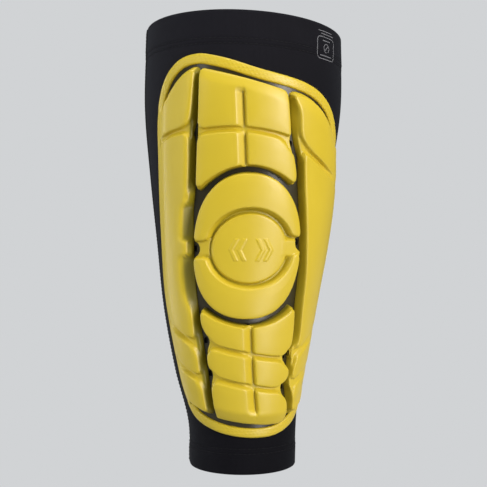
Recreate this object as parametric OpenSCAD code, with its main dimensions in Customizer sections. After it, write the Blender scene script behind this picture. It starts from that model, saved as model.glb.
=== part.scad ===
// Football shin guard: a knitted calf sleeve with a moulded foam pad bonded to its front.
// Frame: +Z up the leg, +X to the viewer's right, the shin faces -Y.
// Origin: on the leg's axis in the plane of the ankle edge.

/* [Sleeve] */
// Height of the sleeve on the leg's axis
sleeve_h = 274; // [240:1:300]
// Width of the sleeve round the calf
calf_w = 125; // [110:1:140]
// Depth of the sleeve round the calf, in front of the axis
calf_front = 59; // [52:0.5:66]
// Depth of the sleeve round the calf, behind the axis
calf_back = 67; // [60:0.5:74]
// Width of the sleeve at the ankle
ankle_w = 67; // [58:1:76]
// Depth of the sleeve at the ankle, in front of the axis
ankle_front = 33; // [29:0.5:37]
// Depth of the sleeve at the ankle, behind the axis
ankle_back = 38; // [33:0.5:43]
// Fall of the knee edge from the left side to the right side
knee_slant = 6; // [0:0.5:12]
// Thickness of the knitted fabric
fabric_t = 0.8; // [0.5:0.1:1.2]
// Height of the turned hem at the knee
knee_hem_h = 20; // [12:1:24]
// Height of the turned hem at the ankle
ankle_hem_h = 16; // [10:1:18]
// Angle of the left side seam from the shin, at the knee
left_seam_knee = 81; // [78:1:110]
// Angle of the left side seam from the shin, at the ankle
left_seam_ankle = 92; // [85:1:110]
// Angle of the right side seam from the shin
right_seam = 102; // [98:1:110]
// Width of a flat side seam
seam_w = 5; // [3:0.5:7]

/* [Pad] */
// Height of the foam cells above the fabric
cell_h = 8; // [6:0.5:9.5]
// Height of the outer ridge of the wings
ridge_h = 6; // [4:0.5:7]
// Height of the centre disc
disc_h = 6.5; // [5:0.5:8]
// Height of the floor of the moulded grooves
groove_h = 5; // [3:0.5:6]
// Width of the floor of the moulded grooves
groove_w = 1.2; // [0.8:0.1:2]
// Run of a groove wall or a block's side wall
wall_run = 1.3; // [1:0.1:2]
// Run of the wings' inner walls, beside the channels
wing_run = 1.3; // [0.8:0.1:3]
// Width of the rim flange round the pad
rim_w = 6; // [4:0.5:6.5]
// Height of the rim flange
rim_h = 2.4; // [2:0.1:3]
// Thickness of the moulded skin
skin_t = 1; // [0.6:0.1:1.5]
// Thickness of the backing film
film_t = 0.5; // [0.3:0.1:0.6]

/* [Hidden] */

// Colours
black_knit = [0.06, 0.06, 0.075];
black_mesh = [0.09, 0.09, 0.1];
thread = [0.12, 0.12, 0.13];
grey_print = [0.45, 0.45, 0.48];
film_olive = [0.2, 0.19, 0.1];
pad_yellow = [0.85, 0.74, 0.2];
foam_yellow = [0.8, 0.72, 0.3];

// Shape of the leg: share of the height, share of the way from ankle size to calf size for the
// width and the front, the same for the back, and the sideways shift in millimetres.
STATIONS = [
    [0, 0, 0, 0],
    [0.10, 0.03, 0.07, 0],
    [0.22, 0.22, 0.28, -2.8],
    [0.37, 0.45, 0.55, -3.6],
    [0.52, 0.65, 0.79, -2],
    [0.67, 0.83, 0.97, -1],
    [0.83, 1, 1, 0.5],
    [1, 0.98, 0.83, 1],
];

// The pad is laid out flat: u is the length round the leg from the shin, +u to the right, and z
// the height. It is drawn for this height and this calf width, and is scaled to others.
PATTERN_H = 274;
PATTERN_W = 125;

// Outer edge of the rim, clockwise from the left side
RIM = [
    [-57, 150], [-57, 190], [-57, 215], [-52, 234], [-41, 246], [-27, 249.5], [-12, 246.5],
    [10, 239.5], [38, 233.5], [53, 227], [64, 217], [73, 201], [80, 180], [82, 158], [78, 130],
    [70, 98], [60, 68], [50, 46], [38, 32.5], [22, 24.5], [4, 23], [-16, 26.5], [-32, 34.5],
    [-39.5, 48], [-44, 67], [-50, 93], [-55, 118],
];
RIM_CENTRE = [8, 140];
FABRIC_ROWS = 18; // rows of points up a panel of the sleeve
RIM_STEPS = 3; // points on each stretch of the rim
FILM_RINGS = 11;

// A block of cells is [rows, columns]. A row line is [z at its left end, z at its right end, bulge
// in the middle], and a column line is a table of [z, u]. Lines run upwards and to the right.
UPPER_BLOCK = [
    [[168.4, 172, 13.8], [205.5, 202, 3], [241, 227.7, 0]],
    [
        [[170, -23.5], [240, -23.2]],
        [[184, 3], [228, 0]],
        [[174, 30.4], [182, 30.4], [192, 28.4], [199, 26.2], [204, 26.4], [227, 24]],
    ],
];
LOWER_BLOCK = [
    [[38, 32, -1.5], [63, 53.5, -2], [82.5, 72.5, -2], [103.5, 105.5, -12]],
    [
        [[37, -14], [57, -14.6], [63, -13.6], [69, -15.8], [78, -16], [83, -14.8], [93, -19],
            [103, -19.6]],
        [[34, 7.7], [56, 8], [93, 7.6]],
        [[32, 24.5], [45, 26.2], [54, 24], [61, 28.4], [66, 28.8], [73, 26], [81, 31.4],
            [105, 33.6]],
    ],
];
LEFT_WING = [
    [[56, 39, -1], [73.5, 59.5, -1], [98, 80, -1], [201.5, 206.5, 1], [227, 241.5, 3]],
    [
        [[39, -22], [46, -30], [56, -34.5], [67, -37], [93, -43], [118, -48], [150, -50.5],
            [214, -50.5], [226, -47.5], [236, -41], [241, -36]],
        [[40, -17.2], [60, -18.8], [80, -21], [95, -23.1], [110, -25.3], [130, -27.5],
            [160, -28.4], [190, -28.3], [215, -27.4], [242, -25.2]],
    ],
];
RIGHT_WING = [
    [[38, 52, -2], [54, 70, 2], [72, 96, 2], [200, 178, -1], [226, 198, 8]],
    [
        [[36, 28.4], [50, 29.6], [56, 29], [70, 32], [75, 31.4], [84, 35.8], [104, 37.8],
            [122, 38.8], [135, 38.2], [160, 36.2], [175, 34.6], [190, 33.6], [200, 31.6],
            [208, 31], [216, 30.2], [226, 26.4]],
        [[45, 42], [68, 52.6], [98, 62.8], [130, 71], [158, 75], [180, 73], [200, 66]],
    ],
];
SHORT_CELL = [0.5]; // shares of a cell's height at which it gets a row of points
LONG_CELL = [0.15, 0.3, 0.45, 0.6, 0.75, 0.88];
WIDE_CELL = [0.3, 0.65];

// Medallion: two round lobes, the two hollows of the crescents, and the disc, each [centre, radius]
UPPER_LOBE = [[4.5, 151.5], 29.2];
LOWER_LOBE = [[5.5, 124.5], 29.2];
UPPER_HOLLOW = [[4.7, 139.5], 21.4];
LOWER_HOLLOW = [[5.7, 136], 21.8];
DISC = [[6, 137.5], 20];
EAR_ANGLE = 14; // half-angle of the flat ear at each side, seen from the centre
MEDALLION_STEPS = 48;

// Air vents in the film
VENTS = [
    [-25, 204], [28.2, 198], [-25.6, 137], [35.8, 141], [-18.2, 82.5], [-16.2, 62.5], [29, 72.5],
    [27, 53.5],
];
VENT_R = 1.1;

// Printed label: centre, width and height
PRINT_AT = [55.5, 258];
PRINT_SIZE = [19, 14];

// Heights of the layers above the fabric, with room for adhesive between each two
LAYER_GAP = 0.35;
film_low = LAYER_GAP;
film_top = film_low + film_t;
pad_low = film_top + LAYER_GAP;
foot_h = pad_low + 1;

// Smooth interpolation of column k of STATIONS at share s of the height
function station_slope(i, k) =
    let (a = max(i - 1, 0), b = min(i + 1, len(STATIONS) - 1))
    (STATIONS[b][k] - STATIONS[a][k]) / (STATIONS[b][0] - STATIONS[a][0]);
function station_index(s, i = 0) =
    i >= len(STATIONS) - 2 || s < STATIONS[i + 1][0] ? i : station_index(s, i + 1);
function station(s, k) =
    let (
        q = max(0, min(1, s)),
        i = station_index(q),
        d = STATIONS[i + 1][0] - STATIONS[i][0],
        t = (q - STATIONS[i][0]) / d
    )
    (2 * t ^ 3 - 3 * t ^ 2 + 1) * STATIONS[i][k]
    + (t ^ 3 - 2 * t ^ 2 + t) * d * station_slope(i, k)
    + (3 * t ^ 2 - 2 * t ^ 3) * STATIONS[i + 1][k]
    + (t ^ 3 - t ^ 2) * d * station_slope(i + 1, k);

// Size of the leg at height z
function half_w(z) = (ankle_w + (calf_w - ankle_w) * station(z / sleeve_h, 1)) / 2;
function front_d(z) = ankle_front + (calf_front - ankle_front) * station(z / sleeve_h, 1);
function back_d(z) = ankle_back + (calf_back - ankle_back) * station(z / sleeve_h, 2);
function shift(z) = station(z / sleeve_h, 3);

// Point at angle a round the leg and height z, a distance h outside the fabric
function on_leg(a, z, h) =
    let (
        w = half_w(z),
        d = cos(a) > 0 ? front_d(z) : back_d(z),
        dw = half_w(z + 0.5) - half_w(z - 0.5),
        dd = cos(a) > 0 ? front_d(z + 0.5) - front_d(z - 0.5) : back_d(z + 0.5) - back_d(z - 0.5),
        ds = shift(z + 0.5) - shift(z - 0.5),
        n = [d * sin(a), -w * cos(a), -(w * dd * cos(a) ^ 2 + d * sin(a) * (ds + dw * sin(a)))]
    )
    [shift(z) + w * sin(a), -d * cos(a), z] + n * h / norm(n);

// Point of the flat pattern, wrapped on the leg
function wrap(p, h) =
    let (z = p[1] * sleeve_h / PATTERN_H)
    on_leg(p[0] * calf_w / PATTERN_W * 360 / (PI * (half_w(z) + front_d(z))), z, h);

// Height of the knee edge at angle a
function knee_z(a) = sleeve_h - knee_slant * sin(a) / 2;

// Solid between two grids of points: rows run up the leg, and columns to the right
module slab(top, bottom) {
    n = len(top);
    m = len(top[0]);
    size = n * m;
    faces = concat(
        [for (i = [0:n - 2], j = [0:m - 2]) let (p = i * m + j) each
            [[p, p + m, p + m + 1], [p, p + m + 1, p + 1]]],
        [for (i = [0:n - 2], j = [0:m - 2]) let (p = size + i * m + j) each
            [[p, p + m + 1, p + m], [p, p + 1, p + m + 1]]],
        [for (j = [0:m - 2]) each
            [[j, j + 1, size + j + 1], [j, size + j + 1, size + j]]],
        [for (j = [0:m - 2]) let (p = size - m + j) each
            [[p + 1, p, size + p], [p + 1, size + p, size + p + 1]]],
        [for (i = [0:n - 2]) let (p = i * m) each
            [[p + m, p, size + p], [p + m, size + p, size + p + m]]],
        [for (i = [0:n - 2]) let (p = i * m + m - 1) each
            [[p, p + m, size + p + m], [p, size + p + m, size + p]]]
    );
    polyhedron([for (r = top) each r, for (r = bottom) each r], faces);
}

// Closed ring through sections that each list the same number of points
module ring(sections) {
    n = len(sections);
    m = len(sections[0]);
    faces = [for (i = [0:n - 1], j = [0:m - 1])
        let (a = i * m + j, b = i * m + (j + 1) % m, c = ((i + 1) % n) * m)
        each [[a, b, c + (j + 1) % m], [a, c + (j + 1) % m, c + j]]];
    polyhedron([for (s = sections) each s], faces);
}

// Angle of a side seam at share s of the height
function left_seam(s) = -left_seam_ankle + (left_seam_ankle - left_seam_knee) * s;
function seam_at(side, s) = side > 0 ? right_seam : left_seam(s);

// Part of the sleeve between the two side seams, in front or round the calf
module fabric_panel(front, columns) {
    join = 0.1;
    function edge(k, s) = front
        ? (k == 0 ? left_seam(s) : right_seam)
        : (k == 0 ? right_seam + join : 360 + left_seam(s) - join);
    function layer(h) = [for (i = [0:FABRIC_ROWS]) [for (j = [0:columns])
        let (
            s = i / FABRIC_ROWS,
            a = edge(0, s) + (edge(1, s) - edge(0, s)) * j / columns
        )
        on_leg(a, knee_z(a) * s, h)]];
    slab(layer(0), layer(-fabric_t));
}

module sleeve_front_panel() {
    color(black_knit)
        fabric_panel(true, 28);
}

module sleeve_calf_panel() {
    color(black_mesh)
        fabric_panel(false, 22);
}

// Flat seam over the joint of the two panels
module side_seam(side) {
    function half_angle(z) = seam_w / 2 / half_w(z) * 180 / PI;
    function layer(h) = [for (i = [0:FABRIC_ROWS])
        let (s = i / FABRIC_ROWS, a = seam_at(side, s), z = 1 + (knee_z(a) - 2) * s)
        [for (j = [-1:1]) on_leg(a + j * half_angle(z), z, h)]];
    color(thread)
        slab(layer(0.7), layer(0.3));
}

// Turned hem: the inner layer of fabric behind the edge of the sleeve
module hem(low, high) {
    steps = 48;
    gap = 0.3;
    color(black_knit)
        ring([for (k = [0:steps - 1]) let (a = k * 360 / steps, z = high ? knee_z(a) : 0) [
            on_leg(a, z + low[0], -fabric_t - gap),
            on_leg(a, z + low[1], -fabric_t - gap),
            on_leg(a, z + low[1], -2 * fabric_t - gap),
            on_leg(a, z + low[0], -2 * fabric_t - gap),
        ]]);
}

module knee_hem() {
    hem([-knee_hem_h, 0], true);
}

module ankle_hem() {
    hem([0, ankle_hem_h], false);
}

// Twin rows of stitching round the sleeve, a height h from the knee edge or the ankle edge
module stitching(h, at_knee) {
    steps = 48;
    thick = 0.4;
    low = 0.9; // clear of the side seams
    spacing = 3;
    color(thread)
        for (row = [0, spacing])
            ring([for (k = [0:steps - 1])
                let (a = k * 360 / steps, z = (at_knee ? knee_z(a) : 0) + h + row) [
                on_leg(a, z, low + thick),
                on_leg(a, z + thick, low + thick),
                on_leg(a, z + thick, low),
                on_leg(a, z, low),
            ]]);
}

module knee_hem_stitching() {
    stitching(-knee_hem_h, true);
}

module ankle_hem_stitching() {
    stitching(ankle_hem_h - 3.4, false);
}

// Printed label on the right of the knee hem
module care_print() {
    steps = 6;
    function layer(h) = [for (i = [0:1]) [for (j = [0:steps])
        wrap(PRINT_AT + [PRINT_SIZE[0] * (j / steps - 0.5), PRINT_SIZE[1] * (i - 0.5)], h)]];
    color(grey_print)
        slab(layer(0.3), layer(0.15));
}

// Point t of the way along stretch i of a smooth closed curve
function curve_point(list, i, t) =
    let (
        n = len(list),
        a = list[(i + n - 1) % n],
        b = list[i],
        c = list[(i + 1) % n],
        d = list[(i + 2) % n]
    )
    0.5 * (2 * b + (c - a) * t + (2 * a - 5 * b + 4 * c - d) * t ^ 2
        + (3 * b - a - 3 * c + d) * t ^ 3);
RIM_LINE = [for (i = [0:len(RIM) - 1], k = [0:RIM_STEPS - 1])
    curve_point(RIM, i, k / RIM_STEPS)];

// Rim line moved a distance d inwards
function inset(list, d) = [for (i = [0:len(list) - 1])
    let (
        n = len(list),
        along = list[(i + 1) % n] - list[(i + n - 1) % n]
    )
    list[i] + [along[1], -along[0]] * d / norm(along)];

module pad_rim() {
    shoulder = inset(RIM_LINE, 1.2);
    inner = inset(RIM_LINE, rim_w);
    middle = inset(RIM_LINE, rim_w / 2);
    color(pad_yellow)
        ring([for (i = [0:len(RIM_LINE) - 1]) [
            wrap(RIM_LINE[i], pad_low),
            wrap(middle[i], pad_low),
            wrap(inner[i], pad_low),
            wrap(inner[i], rim_h),
            wrap(middle[i], rim_h),
            wrap(shoulder[i], rim_h - 0.2),
            wrap(RIM_LINE[i], pad_low + 0.4),
        ]]);
}

// Film that backs the whole pad, as rings of points from the rim to the centre
module backing_film() {
    n = len(RIM_LINE);
    edge = inset(RIM_LINE, 0.5);
    ring_size = n * FILM_RINGS;
    function layer(h) = [for (r = [0:FILM_RINGS - 1], i = [0:n - 1])
        wrap(edge[i] + (RIM_CENTRE - edge[i]) * r / FILM_RINGS, h)];
    faces = concat(
        [for (r = [0:FILM_RINGS - 2], i = [0:n - 1])
            let (a = r * n + i, b = r * n + (i + 1) % n) each
            [[a, b, b + n], [a, b + n, a + n]]],
        [for (r = [0:FILM_RINGS - 2], i = [0:n - 1])
            let (a = ring_size + 1 + r * n + i, b = ring_size + 1 + r * n + (i + 1) % n) each
            [[b, a, b + n], [b + n, a, a + n]]],
        [for (i = [0:n - 1])
            [ring_size - n + i, ring_size - n + (i + 1) % n, ring_size]],
        [for (i = [0:n - 1]) let (base = 2 * ring_size + 1 - n)
            [base + (i + 1) % n, base + i, 2 * ring_size + 1]],
        [for (i = [0:n - 1]) let (a = i, b = (i + 1) % n) each
            [[b, a, ring_size + 1 + a], [b, ring_size + 1 + a, ring_size + 1 + b]]]
    );
    points = concat(
        layer(film_top), [wrap(RIM_CENTRE, film_top)],
        layer(film_low), [wrap(RIM_CENTRE, film_low)]
    );
    color(film_olive)
        difference() {
            polyhedron(points, faces);
            for (v = VENTS)
                vent(v);
        }
}

// Small six-sided air vent through the film
module vent(v) {
    outside = wrap(v, 3);
    inside = wrap(v, -3);
    along = outside - inside;
    translate(inside)
        rotate([0, acos(along[2] / norm(along)), atan2(along[1], along[0])])
            cylinder(r = VENT_R, h = 6, $fn = 6);
}

// Height on row line [left, right, bulge] at share s of the width
function row_z(row, s) = row[0] + (row[1] - row[0]) * s + row[2] * 4 * s * (1 - s);

// Lines of points across a run of cells: [index of the line, offset, level, share to the next
// line]. Level 0 is the edge, 1 the floor of a groove, and 2 the top.
function cell_lines(count, edge_run, edge_run_last, splits) = [
    for (k = [0:count - 1])
        let (
            first = k == 0,
            last = k == count - 1,
            low = first ? 0 : groove_w / 2,
            high = last ? 0 : groove_w / 2,
            run = first ? edge_run : wall_run,
            end = last ? edge_run_last : wall_run
        )
        each concat(
            [[k, low, first ? 0 : 1, 0], [k, low + run, 2, 0]],
            [for (t = splits[k]) [k, low + run + t * 1e-3, 2, t]],
            [[k + 1, -high - end, 2, 0], [k + 1, -high, last ? 0 : 1, 0]]
        )
];

// Point of the flat pattern on a row line and a column line of a block
function block_point(block, row, column) =
    let (
        count = len(block[1]) - 1,
        s = (column[0] + column[3]) / count,
        rows = block[0],
        z = row[3] == 0
            ? row_z(rows[row[0]], s) + row[1]
            : row_z(rows[row[0]], s) * (1 - row[3]) + row_z(rows[row[0] + 1], s) * row[3],
        a = lookup(z, block[1][column[0]]),
        b = column[3] == 0 ? a : lookup(z, block[1][column[0] + 1])
    )
    [column[3] == 0 ? a + column[1] : a * (1 - column[3]) + b * column[3], z];

// Moulded skin of a block, open underneath each cell. tops holds the height of each column line
// that lies on top of the cells.
module block_skin(block, row_lines, column_lines, tops) {
    function level(r, c, j) =
        let (v = min(r[2], c[2])) v == 0 ? foot_h : v == 1 ? groove_h : tops[j];
    function pocket(r, c, j) = min(r[2], c[2]) == 2 ? tops[j] - skin_t : pad_low;
    top = [for (r = row_lines) [for (j = [0:len(column_lines) - 1])
        wrap(block_point(block, r, column_lines[j]), level(r, column_lines[j], j))]];
    bottom = [for (r = row_lines) [for (j = [0:len(column_lines) - 1])
        wrap(block_point(block, r, column_lines[j]), pocket(r, column_lines[j], j))]];
    color(pad_yellow)
        slab(top, bottom);
}

// Foam core in the pocket of one cell: rows from..to and columns from..to of the lines above
module cell_foam(block, row_lines, column_lines, tops, rows, columns) {
    clear = 0.3;
    core_rows = [for (i = rows) row_lines[i]];
    core_columns = [for (j = columns) column_lines[j]];
    function middle(list) =
        let (all = [for (r = list) each r]) [for (k = [0:1]) lerp_sum(all, k) / len(all)];
    function lerp_sum(all, k, i = 0) = i >= len(all) ? 0 : all[i][k] + lerp_sum(all, k, i + 1);
    flat = [for (r = core_rows) [for (c = core_columns) block_point(block, r, c)]];
    mid = middle(flat);
    function shrunk(p) = p + (mid - p) * clear / norm([p[0] - mid[0], (p[1] - mid[1])]);
    top = [for (r = flat) [for (j = [0:len(r) - 1])
        wrap(shrunk(r[j]), tops[columns[j]] - skin_t - clear)]];
    bottom = [for (r = flat) [for (p = r) wrap(shrunk(p), pad_low + 0.2)]];
    color(foam_yellow)
        slab(top, bottom);
}

// Lines of the four blocks
block_columns = cell_lines(2, wall_run, wall_run, [SHORT_CELL, SHORT_CELL]);
upper_rows = cell_lines(2, wall_run, wall_run, [WIDE_CELL, WIDE_CELL]);
lower_rows = cell_lines(3, wall_run, wall_run, [SHORT_CELL, SHORT_CELL, SHORT_CELL]);
wing_rows = cell_lines(4, wall_run, wall_run, [SHORT_CELL, SHORT_CELL, LONG_CELL, WIDE_CELL]);
left_columns = cell_lines(1, 4, wing_run, [WIDE_CELL]);
right_columns = cell_lines(1, wing_run, 4, [[0.3, 0.55, 0.8]]);
block_tops = [for (c = block_columns) cell_h];
left_tops = [foot_h, ridge_h, 6.8, 7.4, cell_h, foot_h];
right_tops = [foot_h, cell_h, 7.6, 7.2, 6.6, ridge_h, foot_h];

module left_wing_skin() {
    block_skin(LEFT_WING, wing_rows, left_columns, left_tops);
}

module right_wing_skin() {
    block_skin(RIGHT_WING, wing_rows, right_columns, right_tops);
}

module upper_block_skin() {
    block_skin(UPPER_BLOCK, upper_rows, block_columns, block_tops);
}

module lower_block_skin() {
    block_skin(LOWER_BLOCK, lower_rows, block_columns, block_tops);
}

// Rows of points on top of cell k of a block: all its lines but the two at its edges
function cell_rows(lines, k) = [for (i = [0:len(lines) - 1])
    if (lines[i][2] == 2 && (lines[i][0] + (lines[i][1] < 0 ? -1 : 0)) == k) i];

module wing_foam(side, k) {
    block = side < 0 ? LEFT_WING : RIGHT_WING;
    columns = side < 0 ? left_columns : right_columns;
    tops = side < 0 ? left_tops : right_tops;
    cell_foam(block, wing_rows, columns, tops, cell_rows(wing_rows, k), cell_rows(columns, 0));
}

module block_foam(block, rows, k, c) {
    cell_foam(block, rows, block_columns, block_tops, cell_rows(rows, k),
        cell_rows(block_columns, c));
}

// Distance from the disc's centre to a circle, along angle a
function reach(circle, a) =
    let (d = circle[0] - DISC[0], e = [cos(a), sin(a)], t = d * e)
    t + sqrt(max(0, t ^ 2 - d * d + circle[1] ^ 2));

// Share of a crescent's height at angle a: 0 on the ears, 1 on the crescents
function crescent(a) =
    let (off = min(a % 180, 180 - a % 180)) max(0, min(1, (off - EAR_ANGLE) / 6));
function lobe(a) = max(reach(UPPER_LOBE, a), reach(LOWER_LOBE, a));
function hollow(a) = a < 180 ? reach(UPPER_HOLLOW, a) : reach(LOWER_HOLLOW, a);

// Rings of the medallion: [radius, height, height of the pocket under it] at angle a
function medallion_section(a) =
    let (
        k = crescent(a),
        ear = groove_h,
        high = ear + (cell_h - ear) * k,
        roof = k > 0.99 ? cell_h - skin_t : pad_low,
        rim = lobe(a),
        inner = min(hollow(a) + wall_run, rim - wall_run - 0.4)
    )
    [
        [rim, foot_h, pad_low],
        [rim - wall_run, high, roof],
        [(rim - wall_run + inner) / 2, high, roof],
        [inner, high, roof],
        [min(hollow(a), inner - 0.4), groove_h, pad_low],
        [DISC[1] + 0.3, groove_h, pad_low],
        [DISC[1] - 1.2, disc_h, disc_h - skin_t],
        [DISC[1] / 2, disc_h, disc_h - skin_t],
    ];

module medallion_skin() {
    n = MEDALLION_STEPS;
    sections = [for (i = [0:n - 1]) medallion_section(i * 360 / n)];
    m = len(sections[0]);
    function layer(k) = [for (i = [0:n - 1], s = [0:m - 1])
        let (a = i * 360 / n, q = sections[i][s])
        wrap(DISC[0] + q[0] * [cos(a), sin(a)], q[k])];
    base = n * m + 1;
    faces = concat(
        [for (i = [0:n - 1], s = [0:m - 2])
            let (a = i * m + s, b = ((i + 1) % n) * m + s) each
            [[b, a, a + 1], [b, a + 1, b + 1]]],
        [for (i = [0:n - 1], s = [0:m - 2])
            let (a = base + i * m + s, b = base + ((i + 1) % n) * m + s) each
            [[a, b, a + 1], [b, b + 1, a + 1]]],
        [for (i = [0:n - 1])
            [((i + 1) % n) * m + m - 1, i * m + m - 1, base - 1]],
        [for (i = [0:n - 1])
            [base + i * m + m - 1, base + ((i + 1) % n) * m + m - 1, 2 * base - 1]],
        [for (i = [0:n - 1])
            let (a = i * m, b = ((i + 1) % n) * m) each
            [[a, b, base + b], [a, base + b, base + a]]]
    );
    points = concat(
        layer(1), [wrap(DISC[0], disc_h)],
        layer(2), [wrap(DISC[0], disc_h - skin_t)]
    );
    color(pad_yellow)
        polyhedron(points, faces);
}

// Foam under one crescent, between two angles
module crescent_foam(from, to) {
    steps = 16;
    clear = 0.5;
    function angle(j) = from + (to - from) * j / steps;
    function outer(a) = lobe(a) - wall_run - clear;
    function inner(a) = min(hollow(a) + wall_run + clear, outer(a) - 1);
    function layer(h) = [for (i = [0:2]) [for (j = [0:steps])
        let (a = angle(j), r = inner(a) + (outer(a) - inner(a)) * i / 2)
        wrap(DISC[0] + r * [cos(a), sin(a)], h)]];
    color(foam_yellow)
        slab(layer(cell_h - skin_t - 0.3), layer(pad_low + 0.2));
}

module foam_disc() {
    steps = 24;
    clear = 0.5;
    r = DISC[1] - 1.2 - clear;
    function circle_at(k, h) = [for (i = [0:steps - 1])
        wrap(DISC[0] + r * k * [cos(-i * 360 / steps), sin(-i * 360 / steps)], h)];
    low = pad_low + 0.2;
    high = disc_h - skin_t - 0.3;
    points = concat(
        circle_at(1, high), circle_at(0.5, high), [wrap(DISC[0], high)],
        circle_at(1, low), circle_at(0.5, low), [wrap(DISC[0], low)]
    );
    base = 2 * steps + 1;
    faces = [for (i = [0:steps - 1]) let (j = (i + 1) % steps) each [
        [i, j, steps + j], [i, steps + j, steps + i],
        [steps + i, steps + j, 2 * steps],
        [base + j, base + i, base + steps + j], [base + steps + j, base + i, base + steps + i],
        [base + steps + j, base + steps + i, base + 2 * steps],
        [j, i, base + i], [j, base + i, base + j],
    ]];
    color(foam_yellow)
        polyhedron(points, faces);
}

sleeve_front_panel();
sleeve_calf_panel();
side_seam(-1);  // left_side_seam
side_seam(1);  // right_side_seam
knee_hem();
knee_hem_stitching();
ankle_hem();
ankle_hem_stitching();
care_print();
backing_film();
pad_rim();
left_wing_skin();
right_wing_skin();
upper_block_skin();
medallion_skin();
lower_block_skin();
wing_foam(-1, 0);  // foam_left_wing_ankle
wing_foam(-1, 1);  // foam_left_wing_lower
wing_foam(-1, 2);  // foam_left_wing_shin
wing_foam(-1, 3);  // foam_left_wing_knee
wing_foam(1, 0);  // foam_right_wing_ankle
wing_foam(1, 1);  // foam_right_wing_lower
wing_foam(1, 2);  // foam_right_wing_shin
wing_foam(1, 3);  // foam_right_wing_knee
block_foam(UPPER_BLOCK, upper_rows, 0, 0);  // foam_upper_low_left
block_foam(UPPER_BLOCK, upper_rows, 0, 1);  // foam_upper_low_right
block_foam(UPPER_BLOCK, upper_rows, 1, 0);  // foam_upper_top_left
block_foam(UPPER_BLOCK, upper_rows, 1, 1);  // foam_upper_top_right
crescent_foam(153, 27);  // foam_crescent_upper
crescent_foam(333, 207);  // foam_crescent_lower
foam_disc();
block_foam(LOWER_BLOCK, lower_rows, 0, 0);  // foam_lower_end_left
block_foam(LOWER_BLOCK, lower_rows, 0, 1);  // foam_lower_end_right
block_foam(LOWER_BLOCK, lower_rows, 1, 0);  // foam_lower_middle_left
block_foam(LOWER_BLOCK, lower_rows, 1, 1);  // foam_lower_middle_right
block_foam(LOWER_BLOCK, lower_rows, 2, 0);  // foam_lower_top_left
block_foam(LOWER_BLOCK, lower_rows, 2, 1);  // foam_lower_top_right
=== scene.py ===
"""Football shin guard: the looks of a knitted calf sleeve with a moulded pad on its shin side.

Everything is laid out as on the flat pattern: u is the length round the leg from the shin line,
z the height, and h the height above the fabric, all in millimetres. wrap() puts it on the leg.
"""
import math
from functools import partial

import bpy
import numpy as np
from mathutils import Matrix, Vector
from mathutils.geometry import delaunay_2d_cdt


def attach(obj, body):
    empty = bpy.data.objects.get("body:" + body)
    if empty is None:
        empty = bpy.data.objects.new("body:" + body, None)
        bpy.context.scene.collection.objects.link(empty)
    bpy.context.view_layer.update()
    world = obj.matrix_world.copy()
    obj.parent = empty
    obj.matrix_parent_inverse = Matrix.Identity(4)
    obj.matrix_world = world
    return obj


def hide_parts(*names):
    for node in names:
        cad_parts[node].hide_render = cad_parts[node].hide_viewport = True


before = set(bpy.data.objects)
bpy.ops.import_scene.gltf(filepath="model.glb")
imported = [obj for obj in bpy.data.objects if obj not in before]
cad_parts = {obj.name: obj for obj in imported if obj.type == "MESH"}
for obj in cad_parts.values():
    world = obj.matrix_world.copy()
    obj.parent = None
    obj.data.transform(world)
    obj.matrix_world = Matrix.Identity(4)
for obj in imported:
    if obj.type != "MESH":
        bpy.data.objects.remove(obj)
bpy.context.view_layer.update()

MM = 0.001

# ---- driving sizes, as in the CAD
SLEEVE_H = 274.0
CALF_W, CALF_FRONT, CALF_BACK = 125.0, 59.0, 67.0
ANKLE_W, ANKLE_FRONT, ANKLE_BACK = 67.0, 33.0, 38.0
KNEE_SLANT = 6.0
KNEE_HEM, ANKLE_HEM = 20.0, 16.0
LEFT_SEAM_KNEE, LEFT_SEAM_ANKLE, RIGHT_SEAM = 81.0, 92.0, 102.0
SEAM_W = 5.0
FABRIC_T = 0.8

CELL_H = 8.0        # top of the foam cells
CROWN = 0.2         # how much higher a cell is in its middle
RIDGE_H = 5.4       # outer ridge of the wings
INNER_H = 7.4       # inner ridge of the wings
DISC_H = 6.4        # centre disc
GROOVE_DEPTH = 3.0
FILM_LOW, FILM_H = 0.2, 0.85   # underside and top of the backing film
FOOT_H = 1.2        # where a moulded wall meets the film
SUNK_H = 0.3        # undersides of the mouldings' edges, within the film
SKIN_T = 1.0
CORE_GAP = 3.2      # foam cores stay this far from the lines of a patch
FLANK_LOW, FLANK_SLOPE = 1.2, 0.4   # height of the wings' flanks at the rim's edge, and slope
WALL_SLOPE = 8.0    # of the blocks' and the medallion's outer walls
WALL_RUN = (CELL_H - FOOT_H) / WALL_SLOPE
FINE = 0.27         # grid step beside the lines of a patch
NO_WALL = 99.0      # a distance beyond every wall

# share of the height, share of the calf size for width and front, the same for the back, shift
STATIONS = np.array([
    [0, 0, 0, 0],
    [0.10, 0.03, 0.07, 0],
    [0.22, 0.22, 0.28, -2.8],
    [0.37, 0.45, 0.55, -3.6],
    [0.52, 0.65, 0.79, -2],
    [0.67, 0.83, 0.97, -1],
    [0.83, 1, 1, 0.5],
    [1, 0.98, 0.83, 1],
])

# ---- the flat pattern
RIM = [
    [-57, 150], [-57, 190], [-57, 215], [-52, 234], [-41, 246], [-27, 249.5], [-12, 246.5],
    [10, 239.5], [38, 233.5], [53, 227], [64, 217], [73, 201], [80, 180], [82, 158], [78, 130],
    [70, 98], [60, 68], [50, 46], [38, 32.5], [22, 24.5], [4, 23], [-16, 26.5], [-32, 34.5],
    [-39.5, 48], [-44, 67], [-50, 93], [-55, 118],
]

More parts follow.
